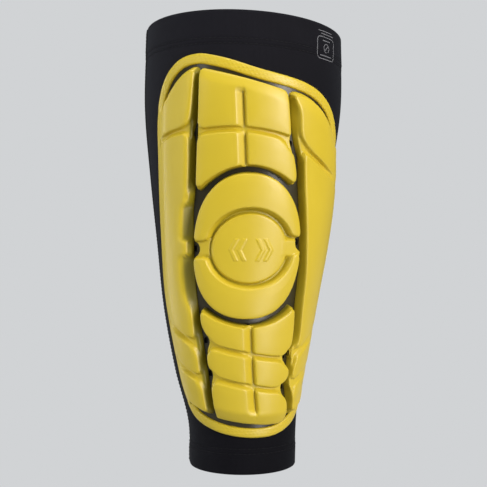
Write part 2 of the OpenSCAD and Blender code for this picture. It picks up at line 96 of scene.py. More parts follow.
# A patch of cells has row lines [z at the left, z at the right, bulge], column lines as tables of
# [z, u], and for each cell the radii of its corners: lower left, lower right, upper left, upper
# right. Cells are listed from the ankle up, and from left to right.
UPPER_BLOCK = {
    "rows": [[168.4, 172, 13.8], [204.5, 201, 3], [241, 227.7, 0]],
    "columns": [
        [[170, -24.1], [240, -23.8]],
        [[184, 3], [228, 0]],
        [[174, 30.4], [182, 30.4], [192, 28.4], [199, 26.2], [204, 26.4], [227, 24]],
    ],
    "corners": [
        [[3.6, 1, 3.5, 1], [1, 3.5, 1, 8]],
        [[4.5, 1, 3, 1], [1, 1.5, 1, 2.5]],
    ],
}
LOWER_BLOCK = {
    "rows": [[35.8, 31.4, -2.3], [63, 54, -2], [82.5, 73, -2], [103.5, 105.5, -12]],
    "columns": [
        [[37, -14], [57, -14.6], [63, -13.6], [69, -15.8], [78, -16], [83, -14.8], [93, -19],
         [103, -19.6]],
        [[34, 7.7], [56, 8], [93, 7.6]],
        [[32, 24.5], [45, 26.2], [54, 24], [61, 28.4], [66, 28.8], [73, 26], [81, 31.4],
         [105, 33.6]],
    ],
    "corners": [
        [[1, 1, 5, 1], [1, 4, 1, 3.5]],
        [[4.5, 1, 5, 1], [1, 5, 1, 5]],
        [[4.5, 1, 2.5, 1.5], [1, 2.5, 1.5, 3]],
    ],
}
LEFT_WING = {
    "rows": [[44.5, 36.8, -1], [73.5, 59.5, -1], [98, 80, -1], [199.5, 206, 2.5],
             [227.2, 243, 3.8]],
    "columns": [
        [[39, -28], [46, -35], [56, -38.5], [67, -41.2], [93, -47], [118, -52], [150, -54.2],
         [211, -54.2], [217, -52], [225, -47], [242, -46]],
        [[40, -15.8], [60, -17.3], [80, -19.5], [95, -21.6], [110, -23.8], [130, -26.2],
         [160, -27.2], [171, -26.3], [190, -26.1], [199, -26.6], [204, -27.4], [209, -26.4],
         [215, -25.6], [242, -23.8]],
    ],
    "corners": [[[1, 2, 1, 4]], [[1, 4, 1, 4]], [[1, 5, 1, 3.5]], [[1, 6.5, 1, 2.6]]],
}
RIGHT_WING = {
    "rows": [[36, 44, -1], [54, 70, 2], [72, 96, 2], [199, 176, -2], [227.8, 203, 7]],
    "columns": [
        [[36, 28.4], [50, 29.6], [56, 29], [70, 32], [75, 31.4], [84, 35.8], [104, 37.8],
         [122, 38.8], [135, 38.2], [160, 36.2], [175, 34.6], [190, 33.2], [200, 29.8],
         [208, 28.2], [216, 27.3], [226, 25.7]],
        [[38, 41], [46, 46.8], [68, 57.3], [98, 67], [130, 75], [158, 79], [180, 77],
         [195, 72.5], [202, 66], [227, 64]],
    ],
    "corners": [[[2, 1, 3, 1]], [[4, 1, 3, 1]], [[4, 1, 3, 1]], [[6, 1, 1.5, 1]]],
}
# Ledge in the channel-side wall of the left wing: u, z, radius
LEFT_LEDGE = (-27.5, 167.0, 1.0)

DISC = np.array([6.0, 137.5])
DISC_R = 20.2
HOLLOW_R = 23.6      # inner edge of the crescents' tops
LOBE_CENTRE = np.array([5.0, 138.4])
LOBE_AXES = (29.8, 42.8)
LOBE_POWER = 2.25

VENTS = [
    [-25, 204], [28.2, 198], [-25.6, 137], [35.8, 141], [-18.2, 82.5], [-16.2, 62.5], [29, 72.5],
    [27, 53.5],
]
VENT_R = 1.3


# ---- curves and the leg
def hermite(x, knots, values):
    """Smooth interpolation of values at knots."""
    knots, values = np.asarray(knots, float), np.asarray(values, float)
    last = len(knots) - 1
    index = np.arange(last + 1)
    before, after = np.maximum(index - 1, 0), np.minimum(index + 1, last)
    slopes = (values[after] - values[before]) / (knots[after] - knots[before])
    x = np.clip(x, knots[0], knots[-1])
    i = np.clip(np.searchsorted(knots, x, side="right") - 1, 0, last - 1)
    d = knots[i + 1] - knots[i]
    t = (x - knots[i]) / d
    return (
        (2 * t**3 - 3 * t**2 + 1) * values[i]
        + (t**3 - 2 * t**2 + t) * d * slopes[i]
        + (3 * t**2 - 2 * t**3) * values[i + 1]
        + (t**3 - t**2) * d * slopes[i + 1]
    )


def station(z, column):
    return hermite(np.asarray(z, float) / SLEEVE_H, STATIONS[:, 0], STATIONS[:, column])


def half_width(z):
    return (ANKLE_W + (CALF_W - ANKLE_W) * station(z, 1)) / 2


def front_depth(z):
    return ANKLE_FRONT + (CALF_FRONT - ANKLE_FRONT) * station(z, 1)


def back_depth(z):
    return ANKLE_BACK + (CALF_BACK - ANKLE_BACK) * station(z, 2)


def on_leg(angle, z, h):
    """Points at angle degrees round the leg from the shin, a distance h outside the fabric."""
    angle, z, h = np.broadcast_arrays(
        np.asarray(angle, float), np.asarray(z, float), np.asarray(h, float))
    a = np.radians(angle)
    sin, cos = np.sin(a), np.cos(a)

    def depth(height):
        return np.where(cos > 0, front_depth(height), back_depth(height))

    w, d = half_width(z), depth(z)
    step = 0.5
    dw = (half_width(z + step) - half_width(z - step)) / (2 * step)
    dd = (depth(z + step) - depth(z - step)) / (2 * step)
    ds = (station(z + step, 3) - station(z - step, 3)) / (2 * step)
    normal = unit(np.stack(
        [d * sin, -w * cos, -(w * dd * cos**2 + d * sin * (ds + dw * sin))], -1))
    base = np.stack([station(z, 3) + w * sin, -d * cos, z], -1)
    return base + normal * h[..., None]


def to_angle(u, z):
    return np.asarray(u, float) * 360 / (math.pi * (half_width(z) + front_depth(z)))


def wrap(u, z, h):
    """Points of the flat pattern on the leg."""
    return on_leg(to_angle(u, z), z, h)


def knee_z(angle):
    return SLEEVE_H - KNEE_SLANT * np.sin(np.radians(angle)) / 2


def left_seam(share):
    return -LEFT_SEAM_ANKLE + (LEFT_SEAM_ANKLE - LEFT_SEAM_KNEE) * share


def closed_curve(points, steps):
    """Catmull-Rom curve through a closed list of points."""
    p = np.array(points, float)
    a, b, c, d = np.roll(p, 1, 0), p, np.roll(p, -1, 0), np.roll(p, -2, 0)
    out = [0.5 * (2 * b + (c - a) * t + (2 * a - 5 * b + 4 * c - d) * t**2
                  + (3 * b - a - 3 * c + d) * t**3) for t in [k / steps for k in range(steps)]]
    return np.stack(out, axis=1).reshape(-1, 2)


def line_distance(points, line, closed=False):
    """Distance from each point of the flat pattern to a polyline."""
    start = np.asarray(line, float)
    end = np.roll(start, -1, 0)
    if not closed:
        start, end = start[:-1], end[:-1]
    best = np.full(len(points), 1e9)
    for a, b in zip(start, end):
        ab = b - a
        t = np.clip(((points - a) @ ab) / max(ab @ ab, 1e-12), 0, 1)
        best = np.minimum(best, np.linalg.norm(points - a - t[:, None] * ab, axis=1))
    return best


def inside(points, line):
    """Whether each point lies inside a closed polyline."""
    a, b = np.asarray(line, float), np.roll(line, -1, 0)
    odd = np.zeros(len(points), bool)
    x, y = points[:, 0], points[:, 1]
    for (x0, y0), (x1, y1) in zip(a, b):
        if y0 != y1:
            odd ^= ((y0 > y) != (y1 > y)) & (x < (x1 - x0) * (y - y0) / (y1 - y0) + x0)
    return odd


def signed_distance(points, line):
    """Distance to a closed polyline, negative outside it."""
    return line_distance(points, line, closed=True) * np.where(inside(points, line), 1, -1)


def soft_min(a, b, k):
    return 0.5 * (a + b - np.sqrt((a - b) ** 2 + k * k))


def soft_max(a, b, k):
    return 0.5 * (a + b + np.sqrt((a - b) ** 2 + k * k))


def round_min(a, b, r):
    """Smaller of two distances inside a corner, rounded to radius r."""
    corner = r - np.hypot(np.maximum(r - a, 0), np.maximum(r - b, 0))
    return np.where((a < r) & (b < r), corner, np.minimum(a, b))


def unit(vectors):
    return vectors / np.linalg.norm(vectors, axis=-1, keepdims=True)


def smooth(x, low, high):
    t = np.clip((x - low) / (high - low), 0, 1)
    return t * t * (3 - 2 * t)


# ---- meshes
def piece(name, points, faces, material, uvs=None, crisp=None):
    """A smooth mesh object from points in millimetres, riding on the root body."""
    mesh = bpy.data.meshes.new(name)
    mesh.from_pydata((np.asarray(points) * MM).tolist(), [], [list(map(int, f)) for f in faces])
    mesh.validate()
    if uvs is not None:
        layer = mesh.uv_layers.new(name="flat")
        loops = np.zeros(len(mesh.loops), np.int32)
        mesh.loops.foreach_get("vertex_index", loops)
        layer.data.foreach_set("uv", (np.asarray(uvs)[loops] * MM).astype(np.float32).ravel())
    mesh.polygons.foreach_set("use_smooth", [True] * len(mesh.polygons))
    if crisp is not None:
        mesh.set_sharp_from_angle(angle=math.radians(crisp))
    mesh.materials.append(material)
    obj = bpy.data.objects.new(name, mesh)
    bpy.context.scene.collection.objects.link(obj)
    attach(obj, "root")
    return obj


def stand_for(node):
    """Hides the CAD node that a piece is shown instead of."""
    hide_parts(node)


def grid_faces(rows, columns, start=0, flip=False, closed=False):
    j = np.arange(columns if closed else columns - 1)
    jj, ii = np.meshgrid(j, np.arange(rows - 1))
    a = start + ii * columns + jj
    b = start + ii * columns + (jj + 1) % columns
    quads = np.stack([a, b, b + columns, a + columns], axis=-1).reshape(-1, 4)
    return quads[:, ::-1] if flip else quads


def two_layers(name, top, bottom, faces, material, uv, **options):
    points = np.concatenate([top.reshape(-1, 3), bottom.reshape(-1, 3)])
    uvs = np.concatenate([uv.reshape(-1, 2)] * 2)
    return piece(name, points, faces, material, uvs, **options)


def slab(name, top, bottom, material, uv):
    """Closed solid between two grids of points, rows up the leg and columns to the right."""
    rows, columns = top.shape[:2]
    size = rows * columns
    index = np.arange(size).reshape(rows, columns)
    edge = np.concatenate([index[0, :], index[1:, -1], index[-1, -2::-1], index[-2:0:-1, 0]])
    ahead = np.roll(edge, -1)
    faces = np.concatenate([
        grid_faces(rows, columns),
        grid_faces(rows, columns, size, flip=True),
        np.stack([edge, edge + size, ahead + size, ahead], axis=-1),
    ])
    return two_layers(name, top, bottom, faces, material, uv)


def loop_solid(name, sections, material, uv):
    """Closed ring: sections[k, i] is point i of the closed outline at place k round the leg."""
    count, sides = sections.shape[:2]
    i, k = np.meshgrid(np.arange(sides), np.arange(count))
    a, b = k * sides + i, k * sides + (i + 1) % sides
    c, d = ((k + 1) % count) * sides + (i + 1) % sides, ((k + 1) % count) * sides + i
    faces = np.stack([d, c, b, a], axis=-1).reshape(-1, 4)
    return piece(name, sections.reshape(-1, 3), faces, material, uv.reshape(-1, 2))


def spread(width, fine, zone, coarse):
    """Shares from 0 to 1 across a width: fine steps near both ends, coarse between."""
    reach = min(zone, width / 2.2)
    edge = np.concatenate([np.arange(0, min(2.2, reach), fine),
                           np.arange(2.2, reach, 1.7 * fine)])
    gap = width - 2 * edge[-1]
    count = max(1, int(round(gap / coarse)))
    middle = edge[-1] + gap * np.arange(1, count) / count
    return np.concatenate([edge, middle, (width - edge)[::-1]]) / width


# ---- the moulded patches
def row_height(row, share):
    return row[0] + (row[1] - row[0]) * share + row[2] * 4 * share * (1 - share)


def column_place(column, z):
    table = np.array(column, float)
    return hermite(z, table[:, 0], table[:, 1])


def patch_point(patch, k, t, m, s):
    """Point a share t from row line k to the next, and a share s from column line m."""
    rows, columns = patch["rows"], patch["columns"]
    share = (m + s) / (len(columns) - 1)
    z = row_height(rows[k], share) * (1 - t) + row_height(rows[k + 1], share) * t
    u = column_place(columns[m], z) * (1 - s) + column_place(columns[m + 1], z) * s
    return np.stack(np.broadcast_arrays(u, z), -1)


def patch_grid(patch):
    """Grid of points over a patch, denser beside its lines, and the cell of each point."""
    def keys(places):
        """Band, and share within it, of each grid line between the first and last places."""
        steps = [(n, share) for n, (a, b) in enumerate(zip(places, places[1:]))
                 for share in spread(abs(b - a), FINE, 5.2, 1.5)[:-1]]
        return [*steps, (len(places) - 2, 1.0)]

    rows, columns = patch["rows"], patch["columns"]
    middle = np.mean([r[0] for r in rows])
    row_keys = keys([np.mean(r[:2]) for r in rows])
    column_keys = keys([float(column_place(c, middle)) for c in columns])
    bands = np.array([m for m, _ in column_keys])
    shares = np.array([s for _, s in column_keys])
    grid = np.zeros((len(row_keys), len(column_keys), 2))
    for i, (k, t) in enumerate(row_keys):
        for m in range(len(columns) - 1):
            here = bands == m
            grid[i, here] = patch_point(patch, k, t, m, shares[here])
    cell = np.stack(np.broadcast_arrays(
        np.array([k for k, _ in row_keys])[:, None], bands[None, :]), axis=-1)
    return grid, cell


def patch_lines(patch):
    """The row lines and column lines of a patch as polylines."""
    high, wide = len(patch["rows"]) - 1, len(patch["columns"]) - 1
    share = np.linspace(0, 1, 41)
    band = np.minimum((share * wide).astype(int), wide - 1)
    row_lines = [
        np.array([patch_point(patch, min(k, high - 1), float(k == high), m, s * wide - m)
                  for s, m in zip(share, band)]) for k in range(high + 1)]
    column_lines = [
        np.concatenate([patch_point(patch, k, np.linspace(0, 1, 25), min(m, wide - 1),
                                    float(m == wide)) for k in range(high)])
        for m in range(wide + 1)]
    return row_lines, column_lines


def drop(distance, slope, softness):
    """How far a surface has fallen at a distance inside the edge of its top."""
    return slope * 0.5 * (np.sqrt(distance**2 + softness**2) - distance)


# for each side of a cell, how far its edge stands off the line of its groove, and the slope of
# its wall: the walls that face right or up are long and soft, those facing left or down steep
GROOVE_SIDES = {"left": (0.9, 4.0), "right": (4.2, 0.8), "bottom": (0.9, 4.0), "top": (3.0, 1.4)}


def cell_heights(patch, grid, cell, top, walls, fade, depth):
    """Heights of a patch of cells.

    top is the height of the cells' tops, walls gives the run and the slope of each outer wall, or
    None where there is none, fade lifts the column grooves, and depth is the grooves' depth.
    """
    flat = grid.reshape(-1, 2)
    k, m = cell.reshape(-1, 2).T
    rows, columns = patch_lines(patch)
    to_row = np.array([line_distance(flat, r) for r in rows])
    to_column = np.array([line_distance(flat, c) for c in columns])
    points = np.arange(len(flat))
    edges, slopes = {}, {}
    rise = {}   # height that each outer wall has reached
    for side, distances, near, last in (
            ("left", to_column, m, 0), ("right", to_column, m + 1, len(columns) - 1),
            ("bottom", to_row, k, 0), ("top", to_row, k + 1, len(rows) - 1)):
        distance = distances[near, points]
        outer = near == last
        offset, slope = GROOVE_SIDES[side]
        lift = fade if side in ("left", "right") else 0
        edges[side] = distance - offset + lift
        slopes[side] = np.full(len(flat), slope)
        if walls[side] is None:
            edges[side] = np.where(outer, NO_WALL, edges[side])
        else:
            run, wall_slope, away = walls[side]
            edges[side] = np.where(outer, distance - run + away, edges[side])
            slopes[side] = np.where(outer, wall_slope, slopes[side])
            rise[side] = wall_slope * (distances[last] + away)
    corners = np.array(patch["corners"], float)[k, m]
    contour = climb = np.full(len(flat), NO_WALL)
    ends = [patch["corners"][row][column] for row in (0, -1) for column in (0, -1)]
    for index, (a, b) in enumerate(
            (("left", "bottom"), ("right", "bottom"), ("left", "top"), ("right", "top"))):
        contour = np.minimum(contour, round_min(edges[a], edges[b], corners[:, index]))
        climb = np.minimum(
            climb, FOOT_H + round_min(rise[a], rise[b], WALL_SLOPE * ends[index][index]))
    nearness = np.array([np.exp(-np.clip(edges[s] - contour, 0, 30) / 0.5) for s in edges])
    slope = (nearness * np.array([slopes[s] for s in edges])).sum(0) / nearness.sum(0)
    cells = top - drop(contour, slope, 0.3)
    floor = soft_min(top - depth, climb, 0.4)
    return soft_max(cells, floor, 0.25), contour


def mark_painted_shade(obj, painted_shade):
    """Stores how deep in a recess each point lies, from 0 on a top to 1 at the foot of a wall, for
    the painted shade that darkens the skin there.
    """
    layer = obj.data.attributes.new("painted_shade", "FLOAT", "POINT")
    layer.data.foreach_set("value", np.tile(np.clip(painted_shade.ravel(), 0, 1), 2))


def skin_layers(grid, heights):
    """The outside and the inside of a skin over a grid of flat-pattern points, and its heights."""
    u, z = grid[..., 0], grid[..., 1]
    h = np.maximum(heights.reshape(u.shape), SUNK_H + 0.1)
    under = np.minimum(h - 0.1, np.maximum(h - SKIN_T, SUNK_H))
    return wrap(u, z, h), wrap(u, z, under), h


def shell(name, grid, heights, painted_shade):
    """Moulded skin of a patch, hollow underneath where it is tall."""
    top, bottom, _ = skin_layers(grid, heights)
    obj = slab(name, top, bottom, skin, grid)
    # painted shade for the recesses of this skin
    mark_painted_shade(obj, painted_shade)
    stand_for(name + "_skin")


def core(name, grid, heights):
    """Foam core under part of a skin."""
    u, z = grid[..., 0], grid[..., 1]
    high = np.maximum(heights.reshape(u.shape) - SKIN_T - 0.1, FILM_H + 0.3)
    obj = slab(name, wrap(u, z, high), wrap(u, z, FILM_H + 0.05), foam, grid)
    stand_for(name.replace("core_", "foam_", 1))


def cores(patch, grid, cell, heights, names):
    """A foam core in each cell of a patch, clear of the walls and grooves."""
    heights = heights.reshape(grid.shape[:2])
    rows, columns = patch_lines(patch)

    def clear(points, lines):
        return min(line_distance(points, line).max() for line in lines) > CORE_GAP

    for index, name in enumerate(names):
        k, m = divmod(index, len(patch["columns"]) - 1)
        i = np.flatnonzero(cell[:, 0, 0] == k)
        j = np.flatnonzero(cell[0, :, 1] == m)
        part = grid[np.ix_(i, j)]
        inner = np.ix_([i[n] for n in range(len(i)) if clear(part[n], rows[k:k + 2])],
                       [j[n] for n in range(len(j)) if clear(part[:, n], columns[m:m + 2])])
        core(name, grid[inner], heights[inner])


# ---- materials
def feed(node, values):
    """Links a socket, or sets a number or colour, on each named or numbered input of a node."""
    for key, value in values.items():
        if isinstance(value, bpy.types.NodeSocket):
            node.id_data.links.new(value, node.inputs[key])
        else:
            node.inputs[key].default_value = value


def new_node(tree, kind, inputs={}, **settings):
    node = tree.nodes.new("ShaderNode" + kind)
    for key, value in settings.items():
        setattr(node, key, value)
    feed(node, inputs)
    return node


def math_node(tree, operation, a, b=0.0):
    return new_node(tree, "Math", {0: a, 1: b}, operation=operation).outputs[0]


def map_range(tree, value, low, high, from_low=0.0, from_high=1.0, **settings):
    inputs = {"Value": value, "From Min": from_low, "From Max": from_high, "To Min": low,
              "To Max": high}
    return new_node(tree, "MapRange", inputs, **settings).outputs[0]


def noise(tree, scale, detail=2.0):
    """Noise over the object's own coordinates."""
    where = new_node(tree, "TexCoord").outputs["Object"]
    inputs = {"Vector": where, "Scale": scale, "Detail": detail}
    return new_node(tree, "TexNoise", inputs).outputs["Fac"]


def blend_colours(tree, share, first, second):
    ramp = new_node(tree, "ValToRGB", {"Fac": share})
    for element, colour in zip(ramp.color_ramp.elements, (first, second)):
        element.color = (*colour, 1)
    return ramp.outputs["Color"]


def bump(tree, height, strength, distance, under={}):
    inputs = {"Height": height, "Strength": strength, "Distance": distance, **under}
    return new_node(tree, "Bump", inputs).outputs["Normal"]


def flat_place(tree):
    uv = new_node(tree, "UVMap", uv_map="flat").outputs["UV"]
    split = new_node(tree, "SeparateXYZ", {0: uv})
    return split.outputs["X"], split.outputs["Y"]


def dots(tree, pitch, radius):
    """1 inside round dots laid out in offset rows on the flat pattern, 0 outside."""
    m = partial(math_node, tree)
    u, v = flat_place(tree)
    row = m("DIVIDE", v, pitch * 0.87)   # rows of a triangular layout
    odd = m("MODULO", m("FLOOR", row), 2.0)
    along = m("ADD", m("DIVIDE", u, pitch), m("MULTIPLY", odd, 0.5))
    x, y = [m("SUBTRACT", m("FRACT", turns), 0.5) for turns in (along, row)]
    squares = m("ADD", m("MULTIPLY", x, x), m("MULTIPLY", y, y))
    away = m("DIVIDE", m("SQRT", squares), radius)
    return map_range(tree, away, 1.0, 0.0, 0.7, 1.2, interpolation_type="SMOOTHSTEP")


def wave(tree, coordinate, pitch):
    """Rounded ribs of a pitch along a coordinate, from 0 to 1."""
    m = partial(math_node, tree)
    sine = m("SINE", m("MULTIPLY", coordinate, 2 * math.pi / pitch))
    return m("MULTIPLY", m("ADD", sine, 1.0), 0.5)


def new_material(name):
    material = bpy.data.materials.new(name)
    material.use_nodes = True
    return material, material.node_tree


def finish(material, colour, normal, values):
    """Gives a material's shader its colour, its normal and its other inputs."""
    shader = material.node_tree.nodes["Principled BSDF"]
    feed(shader, {"Base Color": colour, "Normal": normal, **values})
    return material


def skin_material(name, dotted=False):
    material, tree = new_material(name)
    colour = blend_colours(tree, noise(tree, 38.0, 3.0), (0.53, 0.385, 0.014),
                           (0.58, 0.427, 0.021))
    normal = bump(tree, noise(tree, 2600.0), 0.25, 0.00004)
    if dotted:
        normal = bump(tree, dots(tree, 0.0022, 0.28), 1.0, 0.0001, {"Normal": normal})
    else:   # painted shade: the skin is darkened in the recesses, where shade falls
        painted_shade = new_node(tree, "Attribute", attribute_name="painted_shade").outputs["Fac"]
        painted_shade_colour = blend_colours(tree, painted_shade, (1, 1, 1), (0.4, 0.44, 0.25))
        colour = new_node(tree, "Mix", {"Factor": 1.0, 6: colour, 7: painted_shade_colour},
                          data_type="RGBA", blend_type="MULTIPLY").outputs[2]
    rough = map_range(tree, noise(tree, 160.0), 0.33, 0.45)
    return finish(material, colour, normal, {"Roughness": rough})


def film_material():
    material, tree = new_material("backing_film")
    colour = blend_colours(tree, noise(tree, 90.0), (0.018, 0.014, 0.004), (0.036, 0.029, 0.009))
    return finish(material, colour, bump(tree, noise(tree, 700.0, 3.0), 0.3, 0.00012),
                  {"Roughness": 0.28, "Specular IOR Level": 0.34})


def knit_material():
    """Fine compression knit: columns of loops 0.7 mm apart, crossed by courses."""
    material, tree = new_material("compression_knit")
    m = partial(math_node, tree)
    u, v = flat_place(tree)
    rib = wave(tree, u, 0.0007)
    course = wave(tree, m("ADD", v, m("MULTIPLY", rib, 0.00018)), 0.0005)
    loops = m("MULTIPLY", rib, m("ADD", m("MULTIPLY", course, 0.5), 0.5))
    tone_and_painted_light = m("ADD", m("MULTIPLY", loops, 0.4), m("MULTIPLY", noise(tree, 55.0, 4.0), 0.2))
    tone_and_painted_light = m("ADD", tone_and_painted_light, m("MULTIPLY", v, 1.5))   # painted light: lighter towards the knee
    side = m("MAXIMUM", m("MINIMUM", u, 0.055), -0.055)
    tone_and_painted_light = m("SUBTRACT", tone_and_painted_light, m("MULTIPLY", side, 5.5))   # painted light: lighter to the left, as from a lamp on that side
    return finish(
        material, blend_colours(tree, tone_and_painted_light, (0.002, 0.0019, 0.003), (0.0105, 0.01, 0.0135)),
        bump(tree, loops, 0.6, 0.00012),
        {"Roughness": 0.78, "Specular IOR Level": 0.06, "Sheen Weight": 0.04,
         "Sheen Roughness": 0.45, "Sheen Tint": (0.75, 0.78, 0.9, 1)})


def mesh_material():
    """Ventilated knit: rows of small holes."""
    material, tree = new_material("mesh_knit")
    m = partial(math_node, tree)
    holes = dots(tree, 0.0024, 0.24)
    rib = wave(tree, flat_place(tree)[0], 0.0008)
    height = m("SUBTRACT", m("MULTIPLY", rib, 0.4), holes)
    return finish(
        material, blend_colours(tree, holes, (0.013, 0.0125, 0.016), (0.001, 0.001, 0.001)),
        bump(tree, height, 0.8, 0.00025),
        {"Roughness": 0.8, "Specular IOR Level": 0.25, "Sheen Weight": 0.06,
         "Sheen Roughness": 0.45})


def plain_material(name, dark, light, roughness, scale, depth):
    """A finish with fine mottling of its colour and surface."""
    material, tree = new_material(name)
    grain = noise(tree, scale, 3.0)
    return finish(material, blend_colours(tree, grain, dark, light), bump(tree, grain, 0.5, depth),
                  {"Roughness": roughness, "Specular IOR Level": 0.1})


skin = skin_material("moulded_skin")
rim_skin = skin_material("moulded_rim", dotted=True)
film = film_material()
knit = knit_material()
mesh_knit = mesh_material()
thread = plain_material(
    "thread", (0.006, 0.006, 0.007), (0.014, 0.014, 0.016), 0.6, 3000.0, 0.00005)
print_grey = plain_material("print", (0.11, 0.11, 0.12), (0.16, 0.16, 0.17), 0.6, 1500.0, 0.00002)
foam = plain_material("foam", (0.55, 0.42, 0.07), (0.68, 0.54, 0.11), 0.85, 2200.0, 0.0002)

# ---- the blocks
BLOCK_WALLS = {side: (WALL_RUN, WALL_SLOPE, 0.0) for side in GROOVE_SIDES}


def block(name, patch, facet_row, facet, facet_slope, core_rows):
    """A block of cells whose one end is chamfered over a length facet."""
    grid, cell = patch_grid(patch)
    to_end = line_distance(grid.reshape(-1, 2), patch_lines(patch)[0][facet_row])
    fade = 6 * (1 - smooth(to_end, facet - 0.2, facet + 0.9))
    top = CELL_H - facet_slope * soft_max(facet - to_end, 0, 0.3)
    heights, contour = cell_heights(patch, grid, cell, top, BLOCK_WALLS, fade, GROOVE_DEPTH)
    heights = heights + CROWN * smooth(contour, 0, 6)
    # painted shade: the skin is darkened where it lies well below the cells' tops, in the grooves
    # and down the walls
    shell(name, grid, heights, smooth(top - heights, 3.2, 5.4))
    cores(patch, grid, cell, heights, [
        f"core_{name[:5]}_{row}_{side}" for row in core_rows for side in ("left", "right")])


block("upper_block", UPPER_BLOCK, -1, 7.0, 0.22, ("low", "top"))
block("lower_block", LOWER_BLOCK, 0, 8.0, 0.34, ("end", "middle", "top"))


# ---- the wings
rim_line = closed_curve(RIM, 16)


def flank(to_rim):
    """The wings' outer flanks fall to the rim's outer edge."""
    return FLANK_LOW + FLANK_SLOPE * to_rim


def wing(name, patch, channel, ledges, run, bevel, facet, reach, tip_z, painted_shade_strength):
    """A wing, whose channel wall is on the side channel and whose other side meets the rim."""
    grid, cell = patch_grid(patch)
    flat = grid.reshape(-1, 2)
    u, z = flat.T
    rows, columns = patch_lines(patch)
    outer = "left" if channel == "right" else "right"
    near, far = (columns[1], columns[0]) if channel == "right" else (columns[0], columns[1])
    to_channel, to_outer = line_distance(flat, near), line_distance(flat, far)
    to_rim = line_distance(flat, rim_line, closed=True)
    to_bottom, to_top = line_distance(flat, rows[0]), line_distance(flat, rows[-1])
    runs = run(z)
    share = to_outer / np.maximum(to_outer + to_channel, 1e-6)
    plateau = RIDGE_H + (INNER_H - RIDGE_H) * np.clip((share - 0.15) / 0.8, 0, 1)
    plateau = plateau - bevel * soft_max(2.4 - to_channel + runs, 0, 0.3)
    plateau = plateau - 0.16 * soft_max(facet - to_top, 0, 0.3)
    at_end = (1 - smooth(np.minimum(to_bottom, to_top), 2, 10)) * smooth(to_rim, 5, 8.5)
    top = soft_min(plateau, flank(to_rim), 0.2)
    top = top + (plateau - top) * at_end * 0.8
    free = smooth(z, tip_z - 6, tip_z)   # where the outer edge has left the rim
    walls = {
        channel: (runs, (top - FOOT_H) / runs, 0.0),
        outer: (1.2, 3.0, 20 * (1 - free)),
        "bottom": (2.0, 1.8, 20 * (1 - smooth(to_rim, 5.5, 7.0))),
        "top": (3.4, 1.7, 20 * (1 - smooth(to_rim, 5.0, 6.5))),
    }
    depth = 0.2 + (GROOVE_DEPTH - 0.4) * smooth(to_rim, reach / 2, reach)
    heights, _ = cell_heights(patch, grid, cell, top, walls, 0.0, depth)
    for ledge_u, ledge_z, radius in ledges:
        away = np.hypot((u - ledge_u) * 0.6, z - ledge_z) - radius
        ledge = soft_max(top - 1.3, top - 1.3 + 1.2 * away, 0.4)
        heights = np.minimum(heights, np.maximum(ledge, heights - 2.0))
    sunk = 1.2 * (1 - smooth(to_rim, 3.1, 3.6))   # dips under the rim
    # painted shade on the wall beside the channel, darker further below the wing's top
    on_wall = 1 - smooth(to_channel - runs, -0.4, 0.5)
    shell(name, grid, heights - sunk, painted_shade_strength * smooth(top - heights, 0.2, 1.4) * on_wall)
    cores(patch, grid, cell, heights, [
        f"core_{name}_{end}" for end in ("ankle", "lower", "shin", "knee")])


def left_run(z):
    return np.interp(z, [40, 86, 98, 102, 107, 112, 122, 132, 134, 141.5, 143.5, 150, 162, 165,
                         169, 172, 196, 202, 206, 210, 242],
                     [2.5, 2.7, 1.9, 2.2, 4.4, 5.6, 6.0, 5.8, 1.8, 1.8, 5.4, 5.3, 4.6, 1.5, 1.3,
                      2.6, 2.6, 1.9, 1.9, 2.6, 2.4])


def right_run(z):
    return hermite(z, [40, 100, 185, 200, 210, 216, 225], [0.9, 0.9, 0.9, 2.8, 3.8, 3.6, 1.2])


# the last argument sets the strength of the painted shade on each wing's channel wall
wing("left_wing", LEFT_WING, channel="right", ledges=[LEFT_LEDGE], run=left_run, bevel=0.25,
     facet=0.0, reach=14.0, tip_z=220.0, painted_shade_strength=1.0)
wing("right_wing", RIGHT_WING, channel="left", ledges=[], run=right_run, bevel=0.0,
     facet=9.0, reach=28.0, tip_z=201.0, painted_shade_strength=0.25)


# ---- the medallion
def polar(radius, angle):
    return radius[..., None] * np.stack([np.cos(angle), np.sin(angle)], -1)


def lobe_line(steps):
    """Outer boundary of the medallion, as points at even angles."""
    angle = np.arange(steps) * 2 * math.pi / steps
    a, b = LOBE_AXES
    radius = (np.abs(np.cos(angle) / a) ** LOBE_POWER
              + np.abs(np.sin(angle) / b) ** LOBE_POWER) ** (-1 / LOBE_POWER)
    return LOBE_CENTRE + polar(radius, angle)


def chevron_relief(x, y):
    """A generic raised mark: two nested chevrons side by side."""
    relief = np.zeros(len(x))
    for centre, turn in ((-6.3, 1), (6.9, -1)):
        across, up = (x - centre) * turn, np.abs(y + 0.8)
        for offset in (-2.2, 2.0):
            bar = np.maximum(np.abs(across - offset - 0.45 * up + 1.5) - 1.0, up - 6.3)
            relief = np.maximum(relief, 0.4 * (1 - smooth(bar, -0.25, 0.25)))
    return relief


